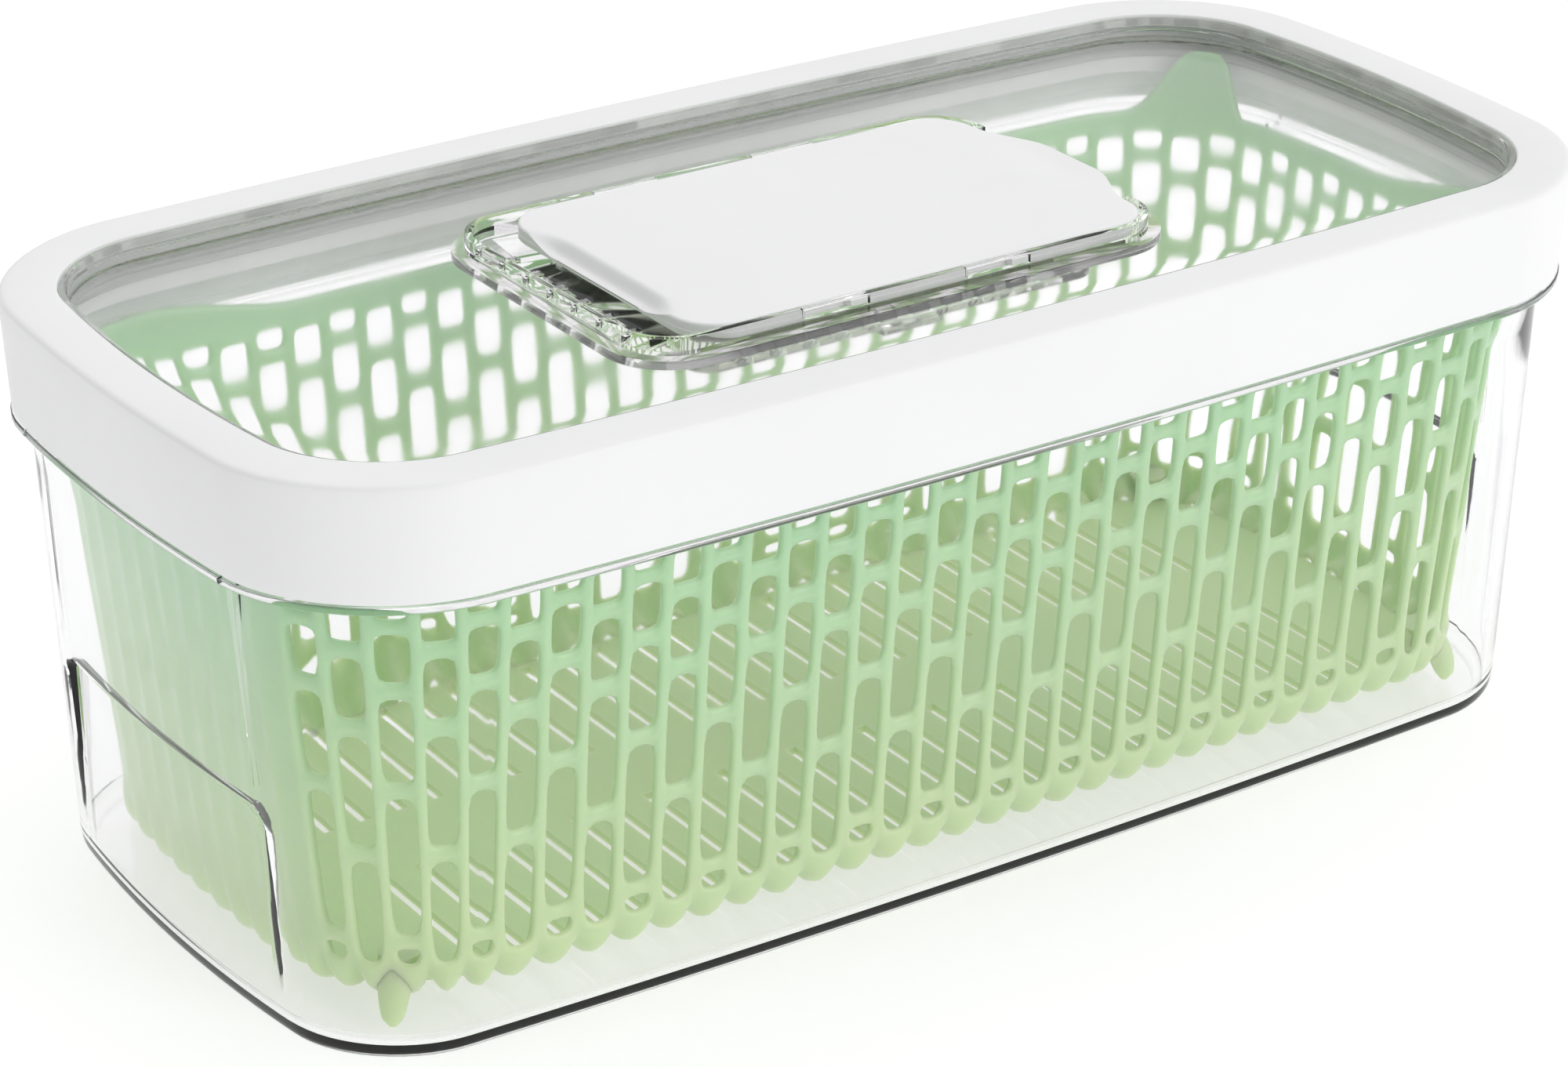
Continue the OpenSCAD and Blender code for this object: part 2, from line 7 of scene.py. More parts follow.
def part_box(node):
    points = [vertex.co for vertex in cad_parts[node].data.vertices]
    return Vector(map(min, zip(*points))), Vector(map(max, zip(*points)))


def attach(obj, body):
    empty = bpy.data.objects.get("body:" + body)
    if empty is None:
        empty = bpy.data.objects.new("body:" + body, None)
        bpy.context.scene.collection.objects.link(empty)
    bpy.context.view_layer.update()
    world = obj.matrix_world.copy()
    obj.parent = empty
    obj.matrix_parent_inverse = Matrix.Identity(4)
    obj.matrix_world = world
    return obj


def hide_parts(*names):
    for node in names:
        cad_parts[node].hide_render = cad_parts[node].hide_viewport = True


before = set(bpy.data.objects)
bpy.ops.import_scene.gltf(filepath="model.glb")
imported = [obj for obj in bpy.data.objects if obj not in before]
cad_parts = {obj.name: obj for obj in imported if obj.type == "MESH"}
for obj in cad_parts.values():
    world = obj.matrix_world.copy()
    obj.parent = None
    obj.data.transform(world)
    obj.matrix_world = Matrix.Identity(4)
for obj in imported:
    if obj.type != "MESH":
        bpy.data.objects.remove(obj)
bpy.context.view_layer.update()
mm = 0.001
print("frame loaded:", len(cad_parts), "nodes")

# Overall sizes come from the frame's own boxes
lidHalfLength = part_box("lid_frame")[1].x
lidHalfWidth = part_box("lid_frame")[1].y
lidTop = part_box("lid_frame")[1].z
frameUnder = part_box("lid_frame")[0].z
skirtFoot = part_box("lid_skirt")[0].z
windowThick = 2.4 * mm
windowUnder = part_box("lid_plug")[1].z
windowTop = windowUnder + windowThick
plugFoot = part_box("lid_plug")[0].z
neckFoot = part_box("container_neck")[0].z
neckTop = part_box("container_neck")[1].z

boxForm = {
    "corner": 38.5 * mm,      # corner radius at the lid's edge
    "endBow": 6.7 * mm,       # how far the short ends bow out
    "longBow": 3.8 * mm,      # how far the long sides bow out
    "cornerSteps": 14,
    "longSteps": 28,
    "endSteps": 16,
}


def blendValue(a, b, t):
    return a + (b - a) * t


def smoothStep(t):
    t = min(1.0, max(0.0, t))
    return t * t * (3 - 2 * t)


def bowedPoint(x, y, halfLength, halfWidth, endBow):
    return (x - math.copysign(endBow, x) * (y / halfWidth) ** 2 * abs(x / halfLength),
            y - math.copysign(boxForm["longBow"], y) * (x / halfLength) ** 2 * abs(y / halfWidth))


def roundedRing(halfLength, halfWidth, corner, height, bow=True, endMarks=None):
    # anticlockwise from the +X +Y corner
    straightX, straightY = halfLength - corner, halfWidth - corner
    steps = boxForm["endSteps"]
    marks = endMarks or [straightY * (1 - 2 * k / steps) for k in range(1, steps)]
    flat = []
    for q, (sx, sy) in enumerate(((1, 1), (-1, 1), (-1, -1), (1, -1))):
        for i in range(boxForm["cornerSteps"] + 1):
            a = math.radians(90 * (q + i / boxForm["cornerSteps"]))
            flat.append((sx * straightX + corner * math.cos(a),
                         sy * straightY + corner * math.sin(a)))
        side = 1 if q < 2 else -1
        if q % 2 == 0:
            steps = boxForm["longSteps"]
            flat += [(side * straightX * (1 - 2 * k / steps), side * halfWidth)
                     for k in range(1, steps)]
        else:
            flat += [(-side * halfLength, side * m) for m in marks]
    if bow:
        flat = [bowedPoint(x, y, halfLength, halfWidth, boxForm["endBow"]) for x, y in flat]
    return [Vector((x, y, height)) for x, y in flat]


def lidRing(inset, height, endMarks=None):
    return roundedRing(lidHalfLength - inset, lidHalfWidth - inset, boxForm["corner"] - inset,
                       height, True, endMarks)


def softened(profile, closed=True, steps=4):
    # rounds the corners of a profile of (inset, height, radius)
    result = []
    count = len(profile)
    for i, (x, z, radius) in enumerate(profile):
        if radius <= 0 or (not closed and i in (0, count - 1)):
            result.append((x, z))
            continue
        here = Vector((x, z))
        before = Vector(profile[i - 1][:2]) - here
        after = Vector(profile[(i + 1) % count][:2]) - here
        start = here + before.normalized() * min(radius, before.length * 0.45)
        end = here + after.normalized() * min(radius, after.length * 0.45)
        for k in range(steps + 1):
            t = k / steps
            result.append(tuple(start * (1 - t) ** 2 + here * 2 * t * (1 - t) + end * t * t))
    return result


def newPiece(name, vertices, faces, sharpAngle=40):
    mesh = bpy.data.meshes.new(name)
    mesh.from_pydata([tuple(v) for v in vertices], [], faces)
    mesh.shade_smooth()
    if sharpAngle:
        mesh.set_sharp_from_angle(angle=math.radians(sharpAngle))
    mesh.update()
    piece = bpy.data.objects.new(name, mesh)
    bpy.context.scene.collection.objects.link(piece)
    return piece


def lofted(name, rings, closed=False, sharpAngle=40):
    count = len(rings[0])
    vertices = [p for ring in rings for p in ring]
    faces = []
    for i in range(len(rings) if closed else len(rings) - 1):
        a, b = i * count, (i + 1) % len(rings) * count
        faces += [(a + j, a + (j + 1) % count, b + (j + 1) % count, b + j) for j in range(count)]
    if not closed:
        faces.append(tuple(range(count - 1, -1, -1)))
        faces.append(tuple((len(rings) - 1) * count + j for j in range(count)))
    return newPiece(name, vertices, faces, sharpAngle)


def bakeModifiers(piece, sharpAngle=0):
    depsgraph = bpy.context.evaluated_depsgraph_get()
    mesh = bpy.data.meshes.new_from_object(piece.evaluated_get(depsgraph))
    piece.modifiers.clear()
    piece.data = mesh
    mesh.shade_smooth()
    if sharpAngle:
        mesh.set_sharp_from_angle(angle=math.radians(sharpAngle))
    return piece


def softenedCopy(nodeName, name, bevel):
    # a merged copy of a CAD node with its edges eased
    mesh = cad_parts[nodeName].data.copy()
    mesh.materials.clear()
    shape = bmesh.new()
    shape.from_mesh(mesh)
    bmesh.ops.remove_doubles(shape, verts=shape.verts, dist=0.004 * mm)
    bmesh.ops.dissolve_limit(shape, angle_limit=math.radians(2), verts=shape.verts, edges=shape.edges)
    shape.to_mesh(mesh)
    shape.free()
    piece = bpy.data.objects.new(name, mesh)
    bpy.context.scene.collection.objects.link(piece)
    easing = piece.modifiers.new("easing", "BEVEL")
    easing.width = bevel
    easing.segments = 2
    easing.limit_method = "ANGLE"
    easing.angle_limit = math.radians(35)
    easing.harden_normals = False
    return bakeModifiers(piece, 40)


def startMaterial(name):
    material = bpy.data.materials.new(name)
    material.use_nodes = True
    return material, material.node_tree, material.node_tree.nodes["Principled BSDF"]


def addNode(tree, kind, **values):
    node = tree.nodes.new(kind)
    for key, value in values.items():
        node.inputs[key].default_value = value
    return node


def mathNode(tree, operation, first, second=0.0):
    node = tree.nodes.new("ShaderNodeMath")
    node.operation = operation
    for socket, value in zip(node.inputs, (first, second)):
        if isinstance(value, (int, float)):
            socket.default_value = value
        else:
            tree.links.new(value, socket)
    return node.outputs[0]


def surfaceNoise(tree, scale, detail, stretch=(1, 1, 1)):
    coordinates = tree.nodes.new("ShaderNodeTexCoord")
    mapping = tree.nodes.new("ShaderNodeMapping")
    mapping.inputs["Scale"].default_value = stretch
    grain = addNode(tree, "ShaderNodeTexNoise", Scale=scale, Detail=detail)
    tree.links.new(coordinates.outputs["Object"], mapping.inputs["Vector"])
    tree.links.new(mapping.outputs["Vector"], grain.inputs["Vector"])
    return grain.outputs["Fac"]


def spread(tree, source, low, high):
    node = tree.nodes.new("ShaderNodeMapRange")
    node.inputs["From Min"].default_value = 0.3
    node.inputs["From Max"].default_value = 0.7
    node.inputs["To Min"].default_value = low
    node.inputs["To Max"].default_value = high
    tree.links.new(source, node.inputs["Value"])
    return node.outputs["Result"]


def tintBetween(tree, factor, first, second, start=0.35, end=0.65):
    ramp = tree.nodes.new("ShaderNodeValToRGB")
    ramp.color_ramp.elements[0].position = start
    ramp.color_ramp.elements[0].color = (*first, 1)
    ramp.color_ramp.elements[1].position = end
    ramp.color_ramp.elements[1].color = (*second, 1)
    tree.links.new(factor, ramp.inputs["Fac"])
    return ramp.outputs["Color"]


def addBumps(tree, shader, layers):
    # layers of (height field, strength, distance), each one riding on the last
    previous = None
    for field, strength, distance in layers:
        bump = addNode(tree, "ShaderNodeBump", Strength=strength, Distance=distance)
        tree.links.new(field, bump.inputs["Height"])
        if previous:
            tree.links.new(previous, bump.inputs["Normal"])
        previous = bump.outputs["Normal"]
    tree.links.new(previous, shader.inputs["Normal"])


def clearPlastic(name, style):
    material, tree, shader = startMaterial(name)
    cloud = surfaceNoise(tree, 14, 2)
    tree.links.new(tintBetween(tree, cloud, style["tint"], style["tintOther"]),
                   shader.inputs["Base Color"])
    tree.links.new(spread(tree, surfaceNoise(tree, 60, 4), *style["roughness"]),
                   shader.inputs["Roughness"])
    shader.inputs["IOR"].default_value = style["ior"]
    shader.inputs["Transmission Weight"].default_value = 1
    addBumps(tree, shader, [(surfaceNoise(tree, 22, 1), style["wave"], 0.4 * mm),
                            (surfaceNoise(tree, 900, 2), style["grain"], 0.02 * mm)])
    # lamps shine through the clear wall
    through = tree.nodes.new("ShaderNodeBsdfTransparent")
    through.inputs["Color"].default_value = (*style["through"], 1)
    rays = tree.nodes.new("ShaderNodeLightPath")
    mix = tree.nodes.new("ShaderNodeMixShader")
    soft = mathNode(tree, "MAXIMUM", rays.outputs["Is Shadow Ray"], rays.outputs["Is Diffuse Ray"])
    # light caught in an edge gets out again after a few turns
    trapped = mathNode(tree, "GREATER_THAN", rays.outputs["Transmission Depth"], style["turns"])
    tree.links.new(mathNode(tree, "MAXIMUM", soft, trapped), mix.inputs[0])
    tree.links.new(shader.outputs[0], mix.inputs[1])
    tree.links.new(through.outputs[0], mix.inputs[2])
    tree.links.new(mix.outputs[0], tree.nodes["Material Output"].inputs["Surface"])
    return material


clearTub = clearPlastic("clearTub", {
    "tint": (0.985, 0.98, 0.99), "tintOther": (0.965, 0.96, 0.975), "through": (0.985, 0.985, 0.99),
    "roughness": (0.02, 0.05), "ior": 1.4, "wave": 0.05, "grain": 0.05, "turns": 6.5})
clearLid = clearPlastic("clearLid", {
    "tint": (0.985, 0.978, 0.983), "tintOther": (0.972, 0.965, 0.972), "through": (0.985, 0.98, 0.984),
    "roughness": (0.03, 0.08), "ior": 1.3, "wave": 0.04, "grain": 0.06, "turns": 4.5})


def greenPlastic():
    # foot is the painted lit colour at the wall's foot, top the colour of its less lit top
    style = {"foot": (0.56, 0.68, 0.385), "top": (0.41, 0.64, 0.40), "roughness": (0.28, 0.42)}
    material, tree, shader = startMaterial("greenBasket")
    # painted light: the wall is painted lighter and more yellow towards its foot, where light falls, and
    # greener towards its top
    place = tree.nodes.new("ShaderNodeSeparateXYZ")
    tree.links.new(tree.nodes.new("ShaderNodeTexCoord").outputs["Object"], place.inputs[0])
    paintedLightHeight = mathNode(tree, "DIVIDE", place.outputs["Z"], 130 * mm)
    cloud = mathNode(tree, "MULTIPLY", surfaceNoise(tree, 24, 3), 0.3)
    tint = tintBetween(tree, mathNode(tree, "ADD", paintedLightHeight, cloud), style["foot"], style["top"], 0.2, 1.1)
    tree.links.new(tint, shader.inputs["Base Color"])
    tree.links.new(spread(tree, surfaceNoise(tree, 120, 4), *style["roughness"]),
                   shader.inputs["Roughness"])
    shader.inputs["IOR"].default_value = 1.49
    shader.inputs["Subsurface Weight"].default_value = 0.75
    shader.inputs["Subsurface Radius"].default_value = (0.7, 1.0, 0.45)
    shader.inputs["Subsurface Scale"].default_value = 5 * mm
    addBumps(tree, shader, [(surfaceNoise(tree, 60, 2), 0.08, 0.3 * mm),
                            (surfaceNoise(tree, 1400, 2), 0.12, 0.03 * mm)])
    return material


def whitePlastic():
    style = {"light": (0.87, 0.87, 0.875), "deep": (0.845, 0.845, 0.855), "roughness": (0.36, 0.48)}
    material, tree, shader = startMaterial("whitePlastic")
    tree.links.new(tintBetween(tree, surfaceNoise(tree, 12, 3), style["light"], style["deep"]),
                   shader.inputs["Base Color"])
    tree.links.new(spread(tree, surfaceNoise(tree, 90, 4), *style["roughness"]),
                   shader.inputs["Roughness"])
    shader.inputs["IOR"].default_value = 1.49
    shader.inputs["Subsurface Weight"].default_value = 0.12
    shader.inputs["Subsurface Radius"].default_value = (1.0, 1.0, 1.0)
    shader.inputs["Subsurface Scale"].default_value = 1.5 * mm
    addBumps(tree, shader, [(surfaceNoise(tree, 2200, 3), 0.16, 0.03 * mm),
                            (surfaceNoise(tree, 30, 1), 0.03, 0.2 * mm)])
    return material


def milkyRubber():
    style = {"light": (0.8, 0.8, 0.81), "deep": (0.76, 0.76, 0.775), "roughness": (0.4, 0.55)}
    material, tree, shader = startMaterial("softSeal")
    tree.links.new(tintBetween(tree, surfaceNoise(tree, 40, 3), style["light"], style["deep"]),
                   shader.inputs["Base Color"])
    tree.links.new(spread(tree, surfaceNoise(tree, 200, 3), *style["roughness"]),
                   shader.inputs["Roughness"])
    shader.inputs["Subsurface Weight"].default_value = 0.6
    shader.inputs["Subsurface Radius"].default_value = (1.0, 1.0, 1.0)
    shader.inputs["Subsurface Scale"].default_value = 2 * mm
    addBumps(tree, shader, [(surfaceNoise(tree, 1200, 2), 0.15, 0.03 * mm)])
    return material


def bondedCloth():
    style = {"light": (0.84, 0.84, 0.82), "deep": (0.74, 0.74, 0.72), "roughness": (0.82, 0.96)}
    material, tree, shader = startMaterial("pouchFabric")
    fibres = surfaceNoise(tree, 900, 4, (1, 3.5, 1))
    clumps = surfaceNoise(tree, 160, 3)
    tree.links.new(tintBetween(tree, clumps, style["light"], style["deep"]), shader.inputs["Base Color"])
    tree.links.new(spread(tree, fibres, *style["roughness"]), shader.inputs["Roughness"])
    shader.inputs["Sheen Weight"].default_value = 0.25
    addBumps(tree, shader, [(clumps, 0.5, 0.4 * mm), (fibres, 0.5, 0.12 * mm)])
    return material


greenBasket = greenPlastic()
whiteParts = whitePlastic()
softSeal = milkyRubber()
pouchFabric = bondedCloth()
print("materials made")


def finishPiece(piece, material, body, slotName, *nodes):
    piece.data.materials.clear()
    piece.data.materials.append(material)
    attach(piece, body)
    if nodes:
        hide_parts(*nodes)
    return piece


tub = {
    "inset": 3.85 * mm, "draft": 6.2 * mm, "wall": 2.3 * mm,
    "baseCorner": 26 * mm, "baseEdge": 3.5 * mm,
    "ledge": 1.6 * mm, "ledgeInset": 0.9 * mm,
    "gripHalf": 44 * mm, "gripTop": 54 * mm, "gripFoot": 7 * mm, "gripDepth": 2 * mm,
    "gripCorner": 5 * mm, "gripStep": 0.7 * mm, "gripReach": 46.9 * mm,
}
# points across an end, close together at the edge of the grip
gripMarks = [m * mm for m in (46.4, 45.6, 45.0, 44.6, 44.3, 44.0, 43.7, 43.4, 42.8,
                              42, 41, 40, 39, 36, 30, 20, 10)]
gripMarks = gripMarks + [0] + [-m for m in reversed(gripMarks)]


def gripDent(y, z):
    depth = tub["gripDepth"] * min(1, max(0, (z - tub["gripFoot"]) / (tub["gripTop"] - tub["gripFoot"])))
    across = max(0, abs(y) - (tub["gripHalf"] - tub["gripCorner"]))
    up = max(0, z - (tub["gripTop"] - tub["gripCorner"]))
    distance = math.hypot(across, up) - tub["gripCorner"]
    return depth * smoothStep(0.5 - distance / tub["gripStep"])


def tubRing(height, inset, wallHeight):
    t = min(1, wallHeight / skirtFoot)
    inward = tub["inset"] + tub["draft"] * (1 - t) + inset
    ring = roundedRing(lidHalfLength - inward, lidHalfWidth - inward,
                       blendValue(tub["baseCorner"], boxForm["corner"], t) - inset, height, True, gripMarks)
    for p in ring:
        if abs(p.x) > lidHalfLength * 0.8 and abs(p.y) < tub["gripReach"]:
            p.x -= math.copysign(gripDent(p.y, wallHeight), p.x)
    return ring


def buildTub():
    edge, wall = tub["baseEdge"], tub["wall"]
    wallTop = neckFoot - tub["ledge"]
    heights = [h * mm for h in (6, 9, 13, 20, 28, 36, 42, 46, 48, 49.5, 50.5, 51.5, 52.3, 53, 53.4, 53.7,
                                54.0, 54.3, 54.6, 55.0, 56, 60, 72, 86, 98)] + [wallTop]
    outer = [tubRing(edge * (1 - math.cos(a)), edge * (1 - math.sin(a)), 0)
             for a in [math.radians(90 * i / 7) for i in range(8)]]
    outer += [tubRing(h, 0, h) for h in heights]
    neckInset = tub["inset"] + wall
    profile = softened([(tub["inset"], wallTop, 0), (tub["ledgeInset"], wallTop, 0.4 * mm),
                        (tub["ledgeInset"], neckFoot, 0.5 * mm), (tub["inset"], neckFoot, 0.5 * mm),
                        (tub["inset"], neckTop, 0.9 * mm), (neckInset, neckTop, 0.9 * mm),
                        (neckInset, wallTop, 0)], False)[1:]
    neck = [lidRing(i, z, gripMarks) for i, z in profile]
    inner = [tubRing(h, wall, h) for h in reversed(heights[:-1])]
    inner += [tubRing(wall + edge * (1 - math.cos(a)), wall + edge * (1 - math.sin(a)), 0)
              for a in [math.radians(90 * i / 7) for i in range(7, -1, -1)]]
    return lofted("tubShell", outer + neck + inner)


finishPiece(buildTub(), clearTub, "tub", "clear_tub", "container_base", "container_wall", "container_neck")
print("tub built")

basket = {
    "floor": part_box("basket_floor")[0].z, "rim": 109.5 * mm,
    "halfLength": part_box("basket_wall")[1].x, "halfWidth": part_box("basket_wall")[1].y,
    "corner": 35 * mm, "baseCorner": 28 * mm, "endDraft": 9.5 * mm, "sideDraft": 8.5 * mm,
    "edge": 7 * mm, "wall": 2.5 * mm, "endBow": 4.5 * mm,
    "pitch": 9.85 * mm, "slotShare": 0.68,
    "lobe": 2.7 * mm, "lobeTop": 25 * mm, "lobeFade": 12 * mm,
    "saddle": 0.8 * mm, "saddleTop": 105 * mm,
    "lift": 3.2 * mm, "liftTop": 17 * mm, "liftReach": 8.5 * mm,
    "handle": 17 * mm, "lowRise": 6.5 * mm, "lowReach": 42 * mm,
}
# slots of the even and odd columns, and the rows of the sheet that they need, in mm
slotHeights = {
    0: [(17.5, 41), (45.5, 71.5), (76.5, 90), (94.5, 103)],
    1: [(17.5, 20.5), (24, 57), (61.5, 81), (85.5, 96), (100, 104)],
}
rowHeights = [17.5, 20.5, 24, 32, 41, 45.5, 51, 57, 61.5, 66.5, 71.5, 76.5, 81, 85.5, 90, 94.5,
              96, 100, 103, 104]
endColumns, cornerColumns, longColumns = 4, 6, 13
quarterColumns = endColumns + cornerColumns + longColumns
cellMarks = [0.0, 0.16, 0.5, 0.84]


def rimRise(x, y):
    u = abs(x) - (basket["halfLength"] - basket["corner"])
    v = abs(y) - (basket["halfWidth"] - basket["corner"])
    if x * y < 0:
        return basket["lowRise"] * smoothStep(1 - max(0, -u, -v) / basket["lowReach"])
    if u <= 0 or v <= 0:
        return 0
    a = math.degrees(math.atan2(v, u))
    return basket["handle"] * smoothStep((a - 16) / 5) * smoothStep((80 - a) / 42) ** 2.3


def quarterPoint(c, halfLength, halfWidth, corner):
    # c columns on from the middle of an end, towards the middle of a long side
    straightX, straightY = halfLength - corner, halfWidth - corner
    arc = corner * math.pi / 2
    pitch = basket["pitch"]
    start = endColumns * pitch - straightY
    end = arc + straightX - longColumns * pitch
    if c <= endColumns:
        s = c * pitch - straightY
    elif c <= endColumns + cornerColumns:
        s = blendValue(start, end, (c - endColumns) / cornerColumns)
    else:
        s = arc + straightX - (quarterColumns - c) * pitch
    if s <= 0:
        return halfLength, straightY + s
    if s < arc:
        return straightX + corner * math.cos(s / corner), straightY + corner * math.sin(s / corner)
    return straightX - (s - arc), halfWidth


def basketPoint(c, halfLength, halfWidth, corner):
    turn = -1 if c >= 2 * quarterColumns else 1
    c = c % (2 * quarterColumns)
    mirror = -1 if c > quarterColumns else 1
    x, y = quarterPoint(c if mirror > 0 else 2 * quarterColumns - c, halfLength, halfWidth, corner)
    x, y = bowedPoint(x, y, halfLength, halfWidth, basket["endBow"])
    return turn * mirror * x, turn * y


def basketSheet():
    # one sheet from the edge of the floor up to the rim, four cells to a slot column
    columns = [k + m for k in range(4 * quarterColumns) for m in cellMarks]

    def sizes(inset, wallHeight):
        s = min(1, max(0, (basket["rim"] - wallHeight) / (basket["rim"] - basket["floor"])))
        return (basket["halfLength"] - basket["endDraft"] * s - inset,
                basket["halfWidth"] - basket["sideDraft"] * s - inset,
                blendValue(basket["corner"], basket["baseCorner"], s) - inset)

    rings = []
    edge = basket["edge"]
    for i in range(4):
        a = math.radians(90 * i / 4)
        size = sizes(edge * (1 - math.sin(a)), basket["floor"])
        rings.append([Vector((*basketPoint(c, *size), basket["floor"] + edge * (1 - math.cos(a))))
                      for c in columns])
    for height in rowHeights:
        size = sizes(0, height * mm)
        rings.append([Vector((*basketPoint(c, *size), height * mm)) for c in columns])
    size = sizes(0, basket["rim"])
    low = rowHeights[-1] * mm
    for t in (0.3, 0.6, 0.85, 1.0):
        ring = []
        for c in columns:
            x, y = basketPoint(c, *size)
            top = basket["rim"] + rimRise(x, y)
            z = blendValue(low, top, t)
            flat = sizes(0, min(z, basket["rim"]))
            ring.append(Vector((*basketPoint(c, *flat), z)))
        rings.append(ring)

    count = len(columns)
    vertices = [p for ring in rings for p in ring]
    faces = [(i * count + j, i * count + (j + 1) % count,
              (i + 1) * count + (j + 1) % count, (i + 1) * count + j)
             for i in range(len(rings) - 1) for j in range(count)]
    piece = newPiece("basketWall", vertices, faces, 0)
    mesh = piece.data
    along = mesh.attributes.new("along", "FLOAT", "POINT")
    along.data.foreach_set("value", columns * len(rings))
    column = mesh.attributes.new("column", "FLOAT", "FACE")
    middles = [k + m for k in range(4 * quarterColumns)
               for m in [(a + b) / 2 for a, b in zip(cellMarks, cellMarks[1:] + [1.0])]]
    column.data.foreach_set("value", middles * (len(rings) - 1))
    # the left end and the last corner columns beside it are a plain fluted wall
    slotted = mesh.attributes.new("slotted", "FLOAT", "FACE")
    leftEnd = 2 * quarterColumns
    marks = [0.0 if abs(m - leftEnd) < endColumns + 1 else 1.0 for m in middles]
    slotted.data.foreach_set("value", marks * (len(rings) - 1))
    level = mesh.attributes.new("level", "FLOAT", "FACE")
    levels = [sum(mesh.vertices[v].co.z for v in face.vertices) / 4 for face in mesh.polygons]
    level.data.foreach_set("value", levels)
    return piece


def namedValue(tree, name):
    node = tree.nodes.new("GeometryNodeInputNamedAttribute")
    node.data_type = "FLOAT"
    node.inputs["Name"].default_value = name
    return next(o for o in node.outputs if o.enabled and o.name == "Attribute")


def slottedWallTree():
    tree = bpy.data.node_groups.new("slottedWall", "GeometryNodeTree")
    face = tree.interface
    face.new_socket(name="Geometry", in_out="INPUT", socket_type="NodeSocketGeometry")
    for name in ("Slot Share", "Lobe Depth", "Lobe Top", "Saddle Depth", "Foot Lift"):
        face.new_socket(name=name, in_out="INPUT", socket_type="NodeSocketFloat")
    face.new_socket(name="Material", in_out="INPUT", socket_type="NodeSocketMaterial")
    face.new_socket(name="Geometry", in_out="OUTPUT", socket_type="NodeSocketGeometry")
    entry = tree.nodes.new("NodeGroupInput").outputs
    leave = tree.nodes.new("NodeGroupOutput")

    place = tree.nodes.new("ShaderNodeSeparateXYZ")
    tree.links.new(tree.nodes.new("GeometryNodeInputPosition").outputs[0], place.inputs[0])
    height = place.outputs["Z"]

    # each column bulges at its foot and is a little hollow between its ribs above
    phase = mathNode(tree, "MULTIPLY", namedValue(tree, "along"), 2 * math.pi)
    wave = mathNode(tree, "MULTIPLY", mathNode(tree, "COSINE", phase), 0.5)
    crest = mathNode(tree, "POWER", mathNode(tree, "SUBTRACT", 0.5, wave), 0.5)
    low = mathNode(tree, "SUBTRACT", entry["Lobe Top"], height)
    low = mathNode(tree, "DIVIDE", low, basket["lobeFade"])
    low = mathNode(tree, "MINIMUM", mathNode(tree, "MAXIMUM", low, 0.0), 1.0)
    bulge = mathNode(tree, "MULTIPLY", low, entry["Lobe Depth"])
    sink = mathNode(tree, "MULTIPLY", mathNode(tree, "SUBTRACT", 1.0, low), entry["Saddle Depth"])
    sink = mathNode(tree, "MULTIPLY", sink, mathNode(tree, "LESS_THAN", height, basket["saddleTop"]))
    outward = mathNode(tree, "MULTIPLY", crest, mathNode(tree, "SUBTRACT", bulge, sink))
    push = tree.nodes.new("ShaderNodeVectorMath")
    push.operation = "SCALE"
    tree.links.new(tree.nodes.new("GeometryNodeInputNormal").outputs[0], push.inputs[0])
    tree.links.new(outward, push.inputs["Scale"])
    # the wall between two columns starts higher, which scallops the bottom edge
    lift = mathNode(tree, "SUBTRACT", basket["liftTop"], height)
    lift = mathNode(tree, "DIVIDE", lift, basket["liftReach"])
    lift = mathNode(tree, "MULTIPLY", mathNode(tree, "MAXIMUM", lift, 0.0), entry["Foot Lift"])
    upward = tree.nodes.new("ShaderNodeCombineXYZ")
    lift = mathNode(tree, "MULTIPLY", lift, mathNode(tree, "SUBTRACT", 1.0, crest))
    tree.links.new(lift, upward.inputs["Z"])
    both = tree.nodes.new("ShaderNodeVectorMath")
    both.operation = "ADD"
    tree.links.new(push.outputs[0], both.inputs[0])
    tree.links.new(upward.outputs[0], both.inputs[1])
    flute = tree.nodes.new("GeometryNodeSetPosition")
    tree.links.new(entry["Geometry"], flute.inputs["Geometry"])
    tree.links.new(both.outputs[0], flute.inputs["Offset"])

    # slots: the cells in the middle of a column, between that column's bars
    column, level = namedValue(tree, "column"), namedValue(tree, "level")
    offCentre = mathNode(tree, "SUBTRACT", mathNode(tree, "FRACT", column), 0.5)
    offCentre = mathNode(tree, "ABSOLUTE", offCentre)
    halfShare = mathNode(tree, "MULTIPLY", entry["Slot Share"], 0.5)
    middle = mathNode(tree, "LESS_THAN", offCentre, halfShare)
    odd = mathNode(tree, "MODULO", mathNode(tree, "FLOOR", column), 2.0)
    opening = 0.0
    for kind, ranges in slotHeights.items():
        isKind = mathNode(tree, "COMPARE", odd, float(kind))
        for low, high in ranges:
            above = mathNode(tree, "GREATER_THAN", level, low * mm)
            below = mathNode(tree, "LESS_THAN", level, high * mm)
            inside = mathNode(tree, "MULTIPLY", mathNode(tree, "MULTIPLY", above, below), isKind)
            opening = mathNode(tree, "MAXIMUM", opening, inside)
    cutAway = mathNode(tree, "MULTIPLY", opening, middle)
    cutAway = mathNode(tree, "MULTIPLY", cutAway, namedValue(tree, "slotted"))
    slots = tree.nodes.new("GeometryNodeDeleteGeometry")
    slots.domain = "FACE"
    tree.links.new(flute.outputs[0], slots.inputs["Geometry"])
    tree.links.new(cutAway, slots.inputs["Selection"])

